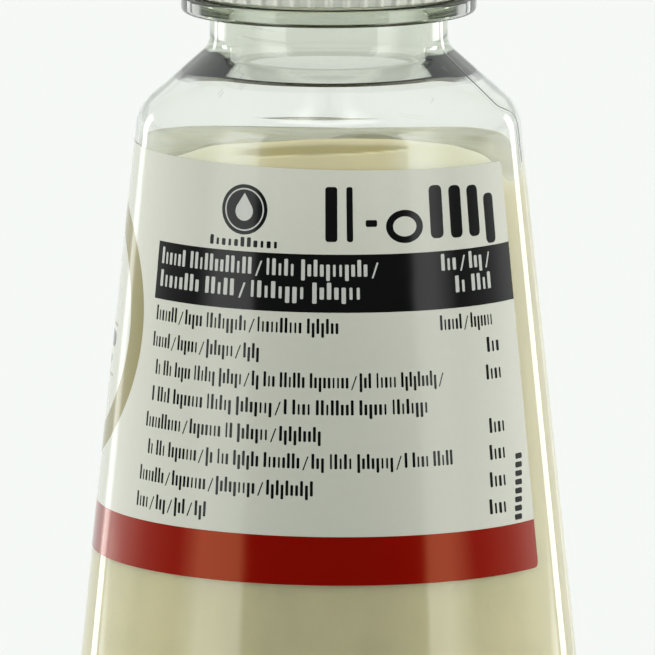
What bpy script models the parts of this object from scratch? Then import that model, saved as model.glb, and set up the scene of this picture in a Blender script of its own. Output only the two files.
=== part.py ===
"""Family-size squeeze bottle of mayonnaise, upright and shut.

A clear turned bottle widens down a long cone below its sloping shoulder. It is filled with
mayonnaise up to the shoulder, wrapped in a film label and closed by a ribbed screw cap that sits
just above the neck ring. Metres, +Z up; the origin is the centre of the ring it stands on, and
the middle of the label's printed table faces -Y.
"""

import math

import bmesh
import bpy
from mathutils import Matrix, Vector

MM = 0.001
GAP = 0.3 * MM
ROUND_STEPS = 40
ARC_STEP = math.radians(16)

# Bottle: outer surface, from the base up
WALL = 0.8 * MM
PUSH_UP_HEIGHT = 5.0 * MM
PUSH_UP_FLAT_RADIUS = 16.0 * MM
PUSH_UP_ROUNDING = 14.0 * MM
STAND_INNER_RADIUS = 33.0 * MM
STAND_INNER_ROUNDING = 2.5 * MM
BODY_RADIUS = 46.2 * MM
HEEL_ROUNDING = 9.0 * MM
CONE_START_HEIGHT = 74.0 * MM
CONE_START_ROUNDING = 220.0 * MM
SHOULDER_RADIUS = 34.0 * MM
SHOULDER_BELOW_RING = 17.3 * MM
SHOULDER_ROUNDING = 7.5 * MM
NECK_RADIUS = 21.2 * MM
NECK_LENGTH = 5.9 * MM
NECK_FOOT_ROUNDING = 4.0 * MM

# Bottle: neck ring and the plain finish that the cap hides
RING_UNDERSIDE = 206.0 * MM
RING_RADIUS = 26.3 * MM
RING_THICKNESS = 3.0 * MM
RING_ROUNDING = 0.9 * MM
FINISH_RADIUS = 22.8 * MM
FINISH_LENGTH = 17.0 * MM
BORE_RADIUS = 19.2 * MM
BORE_ROUNDING = 14.0 * MM

# Cap
CAP_ABOVE_RING = 0.4 * MM
CAP_HEIGHT = 21.0 * MM
CAP_RADIUS = 24.9 * MM
CAP_CROWN_ROUNDING = 2.2 * MM
CAP_TOP_THICKNESS = 2.0 * MM
CAP_PANEL_RADIUS = 20.5 * MM
CAP_PANEL_DEPTH = 0.5 * MM
RIB_COUNT = 51
RIB_RADIUS = 0.45 * MM
RIB_SIDES = 6
RIB_TOP_MARGIN = 3.4 * MM

# Mayonnaise: mean fill height, and how far each wave round the rim lifts it; shallow ripples
FILL_BELOW_RING = 22.7 * MM
RIM_WAVES = ((1, 2.3 * MM), (2, 1.1 * MM), (3, 1.1 * MM))
RIPPLE_HEIGHT = 0.4 * MM
RIPPLE_LENGTH = 24.0 * MM
FILL_GRID = 15

# Label: a film wrapped most of the way round, leaving a bare strip at the right
LABEL_THICKNESS = 0.3 * MM
LABEL_BELOW_RING = 24.0 * MM
LABEL_HEIGHT = 72.5 * MM
LABEL_RIGHT_EDGE = math.radians(60.9)
LABEL_WRAP = math.radians(312)
LABEL_STEPS = 39

# Heights and radii that follow from these
SHOULDER_HEIGHT = RING_UNDERSIDE - SHOULDER_BELOW_RING
NECK_FOOT_HEIGHT = RING_UNDERSIDE - NECK_LENGTH
RING_TOP = RING_UNDERSIDE + RING_THICKNESS
MOUTH_HEIGHT = RING_TOP + FINISH_LENGTH
CAP_BOTTOM = RING_TOP + CAP_ABOVE_RING
CAP_TOP = CAP_BOTTOM + CAP_HEIGHT
FILL_HEIGHT = RING_UNDERSIDE - FILL_BELOW_RING
LABEL_TOP = RING_UNDERSIDE - LABEL_BELOW_RING
LABEL_BOTTOM = LABEL_TOP - LABEL_HEIGHT
CONE_SLOPE = (BODY_RADIUS - SHOULDER_RADIUS) / (SHOULDER_HEIGHT - CONE_START_HEIGHT)

# Corners of the bottle's outer side as (radius, height, rounding), base centre to neck
BODY_CORNERS = [
    (0, PUSH_UP_HEIGHT, 0),
    (PUSH_UP_FLAT_RADIUS, PUSH_UP_HEIGHT, PUSH_UP_ROUNDING),
    (STAND_INNER_RADIUS, 0, STAND_INNER_ROUNDING),
    (BODY_RADIUS, 0, HEEL_ROUNDING),
    (BODY_RADIUS, CONE_START_HEIGHT, CONE_START_ROUNDING),
    (SHOULDER_RADIUS, SHOULDER_HEIGHT, SHOULDER_ROUNDING),
    (NECK_RADIUS, NECK_FOOT_HEIGHT, NECK_FOOT_ROUNDING),
]


def rounded(corners):
    """The points along a path of (radius, height, rounding) corners, with arcs at the rounded ones."""
    points = []
    for index, (radius, height, rounding) in enumerate(corners):
        corner = Vector((radius, height))
        if rounding == 0:
            points.append(corner)
            continue
        back = (Vector(corners[index - 1][:2]) - corner).normalized()
        ahead = (Vector(corners[index + 1][:2]) - corner).normalized()
        turn = math.pi - back.angle(ahead)
        reach = rounding * math.tan(turn / 2)
        centre = corner + (back + ahead).normalized() * rounding / math.cos(turn / 2)
        first = (corner + back * reach - centre).normalized()
        last = (corner + ahead * reach - centre).normalized()
        pieces = max(2, math.ceil(turn / ARC_STEP))
        points += [centre + rounding * first.slerp(last, i / pieces) for i in range(pieces + 1)]
    return points


def inset(corners, distance):
    """The corners of the path that runs beside this one, this distance further inside the bottle."""
    sides = []
    for start, end in zip(corners, corners[1:]):
        along = (Vector(end[:2]) - Vector(start[:2])).normalized()
        sides.append((along, Vector((-along.y, along.x))))
    moved = []
    for index, (radius, height, rounding) in enumerate(corners):
        before = sides[max(index - 1, 0)]
        after = sides[min(index, len(sides) - 1)]
        middle = (before[1] + after[1]).normalized()
        shift = middle * distance / middle.dot(after[1])
        turns_left = before[0].cross(after[0]) > 0
        tighter = -distance if turns_left else distance
        moved.append((radius + shift.x, height + shift.y, rounding and rounding + tighter))
    return moved


def inner_corners():
    """The inner side's corners, a wall's thickness inside, with the thicker neck's flared bore."""
    *side, shoulder, foot, _ = inset(BODY_CORNERS + [(NECK_RADIUS, MOUTH_HEIGHT, 0)], WALL)
    share = (shoulder[0] - BORE_RADIUS) / (shoulder[0] - foot[0])
    bore_height = shoulder[1] + share * (foot[1] - shoulder[1])
    bore = [(BORE_RADIUS, bore_height, BORE_ROUNDING), (BORE_RADIUS, MOUTH_HEIGHT, 0)]
    return side + [shoulder] + bore


def cone_radius(height):
    """The bottle's outer radius at a height on its body cone."""
    return BODY_RADIUS - CONE_SLOPE * (height - CONE_START_HEIGHT)


def fill_height(x, y):
    """The height of the mayonnaise's uneven top; its rim is highest at the front, at -Y."""
    share = min(1, math.hypot(x, y) / SHOULDER_RADIUS)
    azimuth = math.atan2(x, -y)
    tilt = sum(lift * share**order * math.cos(order * azimuth) for order, lift in RIM_WAVES)
    phase = 2 * math.pi / RIPPLE_LENGTH
    ripple = RIPPLE_HEIGHT * math.sin(phase * (x + y)) * math.cos(phase * y)
    return FILL_HEIGHT + tilt + ripple


def new_object(name, mesh, collection):
    obj = bpy.data.objects.new(name, mesh)
    collection.objects.link(obj)
    return obj


def new_cutter(name, mesh, collection):
    obj = new_object(name, mesh, collection)
    obj.hide_render = True
    obj.display_type = "WIRE"
    return obj


def mesh_from(name, bm):
    mesh = bpy.data.meshes.new(name)
    bm.to_mesh(mesh)
    bm.free()
    return mesh


def turned(name, points, collection, steps=ROUND_STEPS, angle=2 * math.pi):
    """An object whose profile runs up its inner side and down its outer side, turned about Z."""
    bm = bmesh.new()
    verts = [bm.verts.new((point.x, 0, point.y)) for point in points]
    for start, end in zip(verts, verts[1:]):
        bm.edges.new((start, end))
    obj = new_object(name, mesh_from(name, bm), collection)
    screw = obj.modifiers.new("Turn", "SCREW")
    screw.angle = angle
    screw.steps = screw.render_steps = steps
    screw.use_merge_vertices = True
    screw.merge_threshold = 0.01 * MM
    return obj


def boolean(obj, other, operation):
    modifier = obj.modifiers.new(operation.title(), "BOOLEAN")
    modifier.operation = operation
    modifier.solver = "EXACT"
    modifier.object = other


def apply_modifiers(obj):
    """Keeps the shape that the modifiers give, shaded smooth apart from its edges."""
    bpy.context.view_layer.update()
    evaluated = obj.evaluated_get(bpy.context.evaluated_depsgraph_get())
    mesh = bpy.data.meshes.new_from_object(evaluated)
    obj.modifiers.clear()
    obj.data = mesh
    mesh.name = obj.name
    mesh.shade_smooth()
    mesh.set_sharp_from_angle(angle=math.radians(35))


def paint(obj, color, roughness, metallic=0.0, transmission=0.0, ior=1.45):
    """Gives the object a Principled material of its own."""
    material = bpy.data.materials.new(obj.name)
    material.use_nodes = True
    shader = material.node_tree.nodes["Principled BSDF"]
    shader.inputs["Base Color"].default_value = (*color, 1)
    shader.inputs["Roughness"].default_value = roughness
    shader.inputs["Metallic"].default_value = metallic
    shader.inputs["Transmission Weight"].default_value = transmission
    shader.inputs["IOR"].default_value = ior
    material.diffuse_color = (*color, 1 - 0.65 * transmission)
    obj.data.materials.clear()
    obj.data.materials.append(material)


def make_bottle(parts):
    """The clear shell: base with a push-up, body, shoulder, neck, ring and open finish."""
    inner = rounded(inner_corners())
    outer = rounded(
        BODY_CORNERS
        + [
            (NECK_RADIUS, RING_UNDERSIDE, 0),
            (RING_RADIUS, RING_UNDERSIDE, RING_ROUNDING),
            (RING_RADIUS, RING_TOP, RING_ROUNDING / 2),
            (FINISH_RADIUS, RING_TOP, 0),
            (FINISH_RADIUS, MOUTH_HEIGHT, 0),
        ]
    )
    bottle = turned("bottle", inner + outer[::-1], parts)
    apply_modifiers(bottle)
    paint(bottle, (0.90, 0.93, 0.91), 0.03, transmission=1.0, ior=1.57)


def make_mayonnaise(parts, cutters):
    """The filling, a gap inside the wall, up to its uneven top."""
    *side, neck_foot = inset(BODY_CORNERS, WALL + GAP)
    points = rounded(side + [(*neck_foot[:2], 0)])
    points.append(Vector((0, points[-1].y)))
    mayonnaise = turned("mayonnaise", points[::-1], parts)

    bm = bmesh.new()
    bmesh.ops.create_grid(bm, x_segments=FILL_GRID, y_segments=FILL_GRID, size=BODY_RADIUS)
    for vert in bm.verts:
        vert.co.z = fill_height(vert.co.x, vert.co.y)
    space = new_cutter("space_above", mesh_from("space_above", bm), cutters)
    depth = space.modifiers.new("Depth", "SOLIDIFY")
    depth.thickness = 2 * FILL_BELOW_RING
    depth.offset = 1
    boolean(mayonnaise, space, "DIFFERENCE")
    apply_modifiers(mayonnaise)
    paint(mayonnaise, (0.80, 0.75, 0.52), 0.35)


def make_label(parts):
    """The film, standing a gap off the body cone, with its bare strip right of the front."""
    heights = (LABEL_TOP, LABEL_BOTTOM)
    points = [Vector((cone_radius(height) + GAP, height)) for height in heights]
    label = turned("label", points, parts, LABEL_STEPS, LABEL_WRAP)
    film = label.modifiers.new("Film", "SOLIDIFY")
    film.thickness = LABEL_THICKNESS
    film.offset = 1
    film.use_even_offset = True
    # The wrap ends at the right edge, which is LABEL_RIGHT_EDGE round from -Y.
    turn = LABEL_RIGHT_EDGE - math.pi / 2 - LABEL_WRAP
    label.rotation_euler.z = turn
    apply_modifiers(label)
    paint(label, (0.78, 0.78, 0.75), 0.4)


def make_rib_mesh():
    """Upright half-round bars, evenly spaced round the cap's skirt."""
    length = CAP_HEIGHT - RIB_TOP_MARGIN
    middle = CAP_BOTTOM + length / 2
    bm = bmesh.new()
    for index in range(RIB_COUNT):
        around = Matrix.Rotation(2 * math.pi * index / RIB_COUNT, 4, "Z")
        bmesh.ops.create_cone(
            bm,
            cap_ends=True,
            segments=RIB_SIDES,
            radius1=RIB_RADIUS,
            radius2=RIB_RADIUS,
            depth=length,
            matrix=around @ Matrix.Translation((CAP_RADIUS, 0, middle)),
        )
    return mesh_from("ribs", bm)


def make_cap(parts, cutters):
    """The screw cap: a cup over the finish, with a ribbed skirt and a shallow panel on top."""
    bore = FINISH_RADIUS + GAP
    ceiling = CAP_TOP - CAP_TOP_THICKNESS
    panel = CAP_TOP - CAP_PANEL_DEPTH
    corners = [
        (0, ceiling, 0),
        (bore, ceiling, 0),
        (bore, CAP_BOTTOM, 0),
        (CAP_RADIUS, CAP_BOTTOM, 0),
        (CAP_RADIUS, CAP_TOP, CAP_CROWN_ROUNDING),
        (CAP_PANEL_RADIUS + CAP_PANEL_DEPTH, CAP_TOP, 0),
        (CAP_PANEL_RADIUS, panel, 0),
        (0, panel, 0),
    ]
    cap = turned("cap", rounded(corners)[::-1], parts)
    ribs = new_cutter("ribs", make_rib_mesh(), cutters)
    boolean(cap, ribs, "UNION")
    apply_modifiers(cap)
    paint(cap, (0.88, 0.89, 0.88), 0.35)


def main():
    for obj in list(bpy.data.objects):
        bpy.data.objects.remove(obj)
    parts = bpy.data.collections.new("mayonnaise_squeeze_bottle")
    cutters = bpy.data.collections.new("cutters")
    for collection in (parts, cutters):
        bpy.context.scene.collection.children.link(collection)
    make_bottle(parts)
    make_mayonnaise(parts, cutters)
    make_label(parts)
    make_cap(parts, cutters)


main()
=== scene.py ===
"""Squeeze bottle of mayonnaise: fine shapes, materials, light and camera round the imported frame.

Lengths are millimetres in the tables and metres in the meshes. A point's azimuth is measured from
the front, -Y, and grows towards +X. A depth is a distance below the underside of the neck ring.
"""

import math

import bpy
import numpy as np
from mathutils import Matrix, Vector, noise
from mathutils.geometry import delaunay_2d_cdt


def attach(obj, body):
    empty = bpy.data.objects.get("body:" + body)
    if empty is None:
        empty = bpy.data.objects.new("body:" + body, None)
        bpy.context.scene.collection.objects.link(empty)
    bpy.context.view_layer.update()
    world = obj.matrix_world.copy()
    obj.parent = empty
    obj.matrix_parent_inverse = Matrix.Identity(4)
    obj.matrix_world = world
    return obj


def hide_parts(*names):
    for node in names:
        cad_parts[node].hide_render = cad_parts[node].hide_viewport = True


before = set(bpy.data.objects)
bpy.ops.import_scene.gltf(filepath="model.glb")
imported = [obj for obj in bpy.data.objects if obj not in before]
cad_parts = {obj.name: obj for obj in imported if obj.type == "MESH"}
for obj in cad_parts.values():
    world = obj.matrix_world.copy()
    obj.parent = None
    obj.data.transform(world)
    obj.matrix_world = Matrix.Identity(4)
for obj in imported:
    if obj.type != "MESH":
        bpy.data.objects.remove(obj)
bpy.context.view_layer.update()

MM = 0.001
ARC_STEP = math.radians(4)
LONGEST_ROW = 4.0

# The bottle's main radii and heights, as in the frame apart from those of the bore
WALL = 0.8
BODY_RADIUS = 46.2
CONE_START_HEIGHT = 74.0
SHOULDER_RADIUS = 34.0
SHOULDER_HEIGHT = 188.7
NECK_RADIUS = 21.2
BORE_RADIUS = 17.8
BORE_ROUNDING = 6.0
BORE_SLOPE = math.radians(33.5)
RING_UNDERSIDE = 206.0
RING_RADIUS = 26.3
RING_TOP = 209.0
FINISH_RADIUS = 22.8
MOUTH_HEIGHT = 226.0
MOUTH_MIDDLE = 21
# The outer side's corners below the neck: radius, height, rounding
BODY_CORNERS = [
    (0, 5, 0),
    (16, 5, 14),
    (33, 0, 2.5),
    (BODY_RADIUS, 0, 9),
    (BODY_RADIUS, CONE_START_HEIGHT, 220),
    (SHOULDER_RADIUS, SHOULDER_HEIGHT, 7.5),
    (NECK_RADIUS, 200.1, 4),
]
CONE_SLOPE = (BODY_RADIUS - SHOULDER_RADIUS) / (SHOULDER_HEIGHT - CONE_START_HEIGHT)
CONE_LEAN = math.atan(CONE_SLOPE)


# ---------------------------------------------------------------- profiles and meshes


def rounded(corners, step=ARC_STEP, longest=LONGEST_ROW):
    """Points along a path of (radius, height, rounding) corners, close together everywhere."""
    points = []
    for index, (radius, height, rounding) in enumerate(corners):
        corner = Vector((radius, height))
        if rounding == 0:
            points.append(corner)
            continue
        back = (Vector(corners[index - 1][:2]) - corner).normalized()
        ahead = (Vector(corners[index + 1][:2]) - corner).normalized()
        turn = math.pi - back.angle(ahead)
        reach = rounding * math.tan(turn / 2)
        centre = corner + (back + ahead).normalized() * rounding / math.cos(turn / 2)
        first = (corner + back * reach - centre).normalized()
        last = (corner + ahead * reach - centre).normalized()
        pieces = max(3, math.ceil(turn / step))
        points += [centre + rounding * first.slerp(last, i / pieces) for i in range(pieces + 1)]
    dense = [points[0]]
    for start, end in zip(points, points[1:]):
        pieces = max(1, math.ceil((end - start).length / longest))
        dense += [start.lerp(end, i / pieces) for i in range(1, pieces + 1)]
    return np.array([tuple(point) for point in dense])


def inset(corners, distance):
    """The corners of the path that runs beside this one, this distance further inside."""
    sides = []
    for start, end in zip(corners, corners[1:]):
        along = (Vector(end[:2]) - Vector(start[:2])).normalized()
        sides.append((along, Vector((-along.y, along.x))))
    moved = []
    for index, (radius, height, rounding) in enumerate(corners):
        before = sides[max(index - 1, 0)]
        after = sides[min(index, len(sides) - 1)]
        middle = (before[1] + after[1]).normalized()
        shift = middle * distance / middle.dot(after[1])
        turns_left = before[0].cross(after[0]) > 0
        tighter = -distance if turns_left else distance
        moved.append((radius + shift.x, height + shift.y, rounding and rounding + tighter))
    return moved


def cone_radius(height):
    """The bottle's outer radius at a height on its cone."""
    return BODY_RADIUS - CONE_SLOPE * (height - CONE_START_HEIGHT)


def smooth(low, high, value):
    """0 below low, 1 above high, and a smooth step between them."""
    share = np.clip((np.asarray(value, float) - low) / (high - low), 0, 1)
    return share * share * (3 - 2 * share)


def link(obj):
    """Puts an object into the scene."""
    bpy.context.scene.collection.objects.link(obj)
    return obj


def mesh_object(name, points, faces, sharp=35):
    """An object of these points, in millimetres, shaded smooth apart from its sharp edges."""
    mesh = bpy.data.meshes.new(name)
    mesh.from_pydata((np.asarray(points, float) * MM).tolist(), [], faces)
    mesh.validate()
    mesh.shade_smooth()
    mesh.set_sharp_from_angle(angle=math.radians(sharp))
    return link(bpy.data.objects.new(name, mesh))


def grid_faces(rows, columns, poles=()):
    """Quads of rows that close round the axis. A row in poles is one point, any other a ring."""
    starts, index = [], 0
    for row in range(rows):
        starts.append(index)
        index += 1 if row in poles else columns
    faces = []
    for row in range(rows - 1):
        low, high = starts[row], starts[row + 1]
        for column in range(columns):
            after = (column + 1) % columns
            if row in poles:
                faces.append((low, high + after, high + column))
            elif row + 1 in poles:
                faces.append((low + column, low + after, high))
            else:
                faces.append((low + column, low + after, high + after, high + column))
    return faces


def turned(name, radius, height, azimuth, sharp=35):
    """A closed shape from arrays of radius, height and azimuth, with one row of each per ring.
    The first and the last row lie on the axis. Rows run up the outer side, so faces look out."""
    rows, columns = radius.shape
    x = radius * np.sin(azimuth)
    y = -radius * np.cos(azimuth)
    points = np.stack([x, y, height], axis=-1)
    first, last = points[:1, 0], points[-1:, 0]
    body = points[1:-1].reshape(-1, 3)
    faces = grid_faces(rows, columns, poles=(0, rows - 1))
    return mesh_object(name, np.concatenate([first, body, last]), faces, sharp)


def spread(profile, columns):
    """A (row, radius and height) profile and azimuths as three arrays of rows by columns."""
    radius = np.repeat(profile[:, :1], len(columns), axis=1)
    height = np.repeat(profile[:, 1:], len(columns), axis=1)
    return radius, height, np.repeat(columns[None], len(profile), axis=0)


# ---------------------------------------------------------------- materials


class Nodes:
    """A small helper that adds nodes to a tree and joins them."""

    def __init__(self, tree):
        self.tree = tree

    def add(self, kind, inputs=None, **settings):
        node = self.tree.nodes.new(kind)
        for name, value in settings.items():
            setattr(node, name, value)
        for name, value in (inputs or {}).items():
            self.put(node.inputs[name], value)
        return node

    def put(self, socket, value):
        if isinstance(value, bpy.types.NodeSocket):
            self.tree.links.new(value, socket)
        else:
            socket.default_value = value

    def math(self, operation, first, second=0.0, clamp=False):
        node = self.add("ShaderNodeMath", {0: first, 1: second}, operation=operation)
        node.use_clamp = clamp
        return node.outputs[0]

    def ramp(self, factor, stops, interpolation="LINEAR"):
        node = self.add("ShaderNodeValToRGB", {"Fac": factor})
        ramp = node.color_ramp
        ramp.interpolation = interpolation
        while len(ramp.elements) < len(stops):
            ramp.elements.new(1)
        for element, (position, value) in zip(ramp.elements, stops):
            element.position = position
            color = value if hasattr(value, "__len__") else (value, value, value)
            element.color = (*color, 1)
        return node.outputs["Color"]

    def mix(self, factor, first, second, blend="MIX"):
        node = self.add("ShaderNodeMix", data_type="RGBA", blend_type=blend)
        for number, value in ((0, factor), (6, first), (7, second)):
            if not isinstance(value, bpy.types.NodeSocket) and hasattr(value, "__len__"):
                value = (*value, 1)
            self.put(node.inputs[number], value)
        return node.outputs[2]

    def noise(self, scale, detail=3.0, roughness=0.5, stretch=(1, 1, 1)):
        """A noise value over the object's own coordinates; scale is in features per metre."""
        place = self.add("ShaderNodeTexCoord").outputs["Object"]
        moved = self.add("ShaderNodeMapping", {"Vector": place, "Scale": stretch})
        node = self.add(
            "ShaderNodeTexNoise",
            {"Vector": moved.outputs[0], "Scale": scale, "Detail": detail, "Roughness": roughness},
        )
        return node.outputs["Fac"]

    def bump(self, height, distance, strength=1.0):
        """A bump from a height of 0 to 1; distance is how far 1 stands proud, in metres."""
        node = self.add(
            "ShaderNodeBump", {"Height": height, "Distance": distance, "Strength": strength}
        )
        return node.outputs["Normal"]


def material(name, **sockets):
    """A Principled material with these socket values, its node helper and its shader."""
    made = bpy.data.materials.new(name)
    made.use_nodes = True
    shader = made.node_tree.nodes["Principled BSDF"]
    for socket, value in sockets.items():
        shader.inputs[socket.replace("_", " ")].default_value = value
    return made, Nodes(made.node_tree), shader


def fall_off(nodes, stops):
    """A factor by height, from (height in millimetres, value) stops."""
    place = nodes.add("ShaderNodeTexCoord").outputs["Object"]
    height = nodes.add("ShaderNodeSeparateXYZ", {0: place}).outputs[2]
    share = nodes.math("DIVIDE", height, RING_UNDERSIDE * MM)
    return nodes.ramp(share, [(z / RING_UNDERSIDE, value) for z, value in stops])


def by_azimuth(nodes, stops):
    """A factor from (degrees away from the front, value) stops."""
    place = nodes.add("ShaderNodeTexCoord").outputs["Object"]
    x, y, _ = nodes.add("ShaderNodeSeparateXYZ", {0: place}).outputs
    turn = nodes.math("ABSOLUTE", nodes.math("ARCTAN2", x, nodes.math("MULTIPLY", y, -1.0)))
    return nodes.ramp(nodes.math("DIVIDE", turn, math.pi), [(a / 180, v) for a, v in stops])


# Scratches on the front of the neck and shoulder: the ends' x and height, and how strong it is
SCRATCHES = (
    (-14.0, 202.9, -7.4, 202.6, 0.45),
    (-12.3, 204.8, -9.5, 204.6, 0.3),
    (-19.4, 193.2, -18.5, 194.2, 0.4),
    (-15.6, 194.6, -14.4, 196.0, 0.35),
    (17.9, 192.6, 18.4, 192.8, 0.4),
    (12.0, 191.0, 16.5, 190.2, 0.12),
)
# Half the width of a scratch, in metres
SCRATCH_REACH = 0.00011


def scratch_mask(nodes):
    """How strongly a point is scratched, from the table of scratches."""
    place = nodes.add("ShaderNodeTexCoord").outputs["Object"]
    y = nodes.add("ShaderNodeSeparateXYZ", {0: place}).outputs[1]
    front = nodes.math("LESS_THAN", y, 0.0)
    total = 0.0
    for x0, z0, x1, z1, strength in SCRATCHES:
        middle = Vector((x0 + x1, 0, z0 + z1)) / 2 * MM
        along = Vector((x1 - x0, 0, z1 - z0)) * MM
        moved = nodes.add("ShaderNodeVectorMath", {0: place, 1: middle}, operation="SUBTRACT")
        reach = []
        for way in (along.normalized(), Vector((-along.z, 0, along.x)).normalized()):
            dot = nodes.add(
                "ShaderNodeVectorMath", {0: moved.outputs[0], 1: way}, operation="DOT_PRODUCT"
            )
            reach.append(nodes.math("ABSOLUTE", dot.outputs["Value"]))
        inside = nodes.math("LESS_THAN", reach[0], along.length / 2)
        beside = nodes.math("DIVIDE", reach[1], SCRATCH_REACH)
        line = nodes.math("SUBTRACT", 1.0, beside, clamp=True)
        mark = nodes.math("MULTIPLY", nodes.math("MULTIPLY", inside, line), strength)
        total = nodes.math("ADD", total, mark)
    return nodes.math("MULTIPLY", total, front)


# What the ring and all above it does to the tint, and the colour of the thick plastic itself
RING_TINT = (0.89, 0.89, 0.87)
PLASTIC_TINT = (0.60, 0.65, 0.52, 1)
PLASTIC_DENSITY = 108.0


def clear_plastic():
    """Clear plastic, greenish where it is thick and darker at the ring, with faint scuffs."""
    made, nodes, shader = material(
        "clear_plastic", Transmission_Weight=1.0, IOR=1.57, Roughness=0.02
    )
    tint = nodes.mix(nodes.noise(30, 2), (0.985, 0.995, 0.988), (0.995, 1.0, 0.995))
    tint = nodes.mix(scratch_mask(nodes), tint, (0.1, 0.1, 0.09))
    ring = fall_off(nodes, [(RING_UNDERSIDE - 0.4, (1, 1, 1)), (RING_UNDERSIDE - 0.1, RING_TINT)])
    tint = nodes.mix(1.0, tint, ring, "MULTIPLY")
    nodes.put(shader.inputs["Base Color"], tint)
    scuff = nodes.noise(900, 4, 0.6, (1, 1, 0.25))
    rough = nodes.ramp(scuff, [(0.0, 0.01), (0.62, 0.02), (0.78, 0.09)])
    nodes.put(shader.inputs["Roughness"], rough)
    nodes.put(shader.inputs["Normal"], nodes.bump(nodes.noise(45, 1), 0.00003))
    absorb = nodes.add(
        "ShaderNodeVolumeAbsorption", {"Color": PLASTIC_TINT, "Density": PLASTIC_DENSITY}
    )
    out = made.node_tree.nodes["Material Output"]
    made.node_tree.links.new(absorb.outputs[0], out.inputs["Volume"])
    return made


# The colour of the painted shade in random patches of the cream
CREAM_PATCH_SHADE = (0.52, 0.51, 0.38)
# Painted shade and painted highlights on the cream by the value its points hold: in the painted
# hollow, plain, along a painted edge line
CREAM_PAINTED_SHADING = ((0, (0.43, 0.40, 0.235)), (0.5, (0.78, 0.78, 0.78)), (1, (1, 1, 1)))
CREAM_LEVEL = (1.28, 1.28, 1.28)
# Painted glow inside the cream by degrees from the front, and the heights between which it rises
CREAM_PAINTED_GLOW = ((17, (1.36, 1.25, 0.82)), (26, (1.55, 1.78, 1.85)))
GLOW_FOOT = 175
GLOW_FULL = 180


def mayonnaise_cream(name, specular, cream, patch_shade, glow):
    """Cloudy cream, painted lighter round the sides than in front and painted to glow as if lit
    from inside near its open top. Its two last arguments are how much painted shade darkens random
    patches and how bright the painted glow is."""
    made, nodes, shader = material(
        name, Roughness=0.32, Specular_IOR_Level=specular, Emission_Strength=1.0
    )
    low, high = (tuple(share * part for part in cream) for share in (0.975, 1.025))
    color = nodes.ramp(nodes.noise(55, 4, 0.6), [(0.3, low), (0.7, high)])
    # Painted shade: random patches of the cream are darkened
    painted_shade_mask = nodes.ramp(nodes.noise(110, 2, 0.5, (1, 1, 0.6)), [(0.45, 0), (0.65, patch_shade)])
    color = nodes.mix(painted_shade_mask, color, CREAM_PATCH_SHADE)
    # Painted shade in a hollow under the rim and painted highlights along its edges, from the
    # points
    painted_shading = nodes.add("ShaderNodeAttribute", attribute_name="painted_shading").outputs["Fac"]
    painted_shading_color = nodes.ramp(painted_shading, CREAM_PAINTED_SHADING)
    color = nodes.mix(1.0, color, painted_shading_color, "MULTIPLY")
    color = nodes.mix(1.0, color, CREAM_LEVEL, "MULTIPLY")
    # Painted light: the cream is lighter round the sides than in front
    side = by_azimuth(nodes, [(15, 0.866), (29, 1.0)])
    color = nodes.mix(1.0, color, side, "MULTIPLY")
    nodes.put(shader.inputs["Base Color"], color)
    # Painted glow: emission that lights the cream near its open top
    light = by_azimuth(nodes, CREAM_PAINTED_GLOW)
    rise = fall_off(nodes, [(GLOW_FOOT, 0), (GLOW_FULL, glow)])
    light = nodes.mix(1.0, light, rise, "MULTIPLY")
    nodes.put(shader.inputs["Emission Color"], light)
    nodes.put(shader.inputs["Normal"], nodes.bump(nodes.noise(160, 3), 0.0004))
    return made


# Painted shade on the film: its factor by height in front, and at its sides
FILM_PAINTED_SHADE_FRONT = ((118, 0.80), (153, 0.86), (181, 1.0))
FILM_PAINTED_SHADE_SIDE = (0.85, 0.85, 0.85)


def film(name, color, roughness=0.13, specular=0.25, tint=(1, 1, 1)):
    """Printed film: an even ink with slight mottling, and the faint waves of a stretched film.
    Painted shade darkens it towards the bottom in front, and evenly at its sides.
    """
    made, nodes, shader = material(
        name, Specular_IOR_Level=specular, Specular_Tint=(*tint, 1)
    )
    mottle = nodes.noise(700, 2)
    low = tuple(0.96 * part for part in color)
    ink = nodes.mix(mottle, low, color)
    # Painted shade: darker towards the bottom in front, and evenly darker at the sides
    front = fall_off(nodes, FILM_PAINTED_SHADE_FRONT)
    shadow = nodes.mix(by_azimuth(nodes, [(15, 0), (38, 1)]), front, FILM_PAINTED_SHADE_SIDE)
    nodes.put(shader.inputs["Base Color"], nodes.mix(1.0, ink, shadow, "MULTIPLY"))
    grain = nodes.ramp(nodes.noise(260, 3), [(0.3, roughness * 0.9), (0.7, roughness * 1.1)])
    nodes.put(shader.inputs["Roughness"], grain)
    nodes.put(shader.inputs["Normal"], nodes.bump(nodes.noise(60, 2), 0.00008))
    return made


def cap_plastic():
    """White moulded plastic with a fine grain."""
    made, nodes, shader = material("cap_plastic", Roughness=0.38, Specular_IOR_Level=0.5)
    tone = nodes.mix(nodes.noise(90, 3), (0.68, 0.69, 0.61), (0.72, 0.73, 0.65))
    nodes.put(shader.inputs["Base Color"], tone)
    grain = nodes.ramp(nodes.noise(500, 3), [(0.3, 0.34), (0.7, 0.44)])
    nodes.put(shader.inputs["Roughness"], grain)
    nodes.put(shader.inputs["Normal"], nodes.bump(nodes.noise(1500, 2), 0.00003))
    return made


# ---------------------------------------------------------------- bottle

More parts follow.
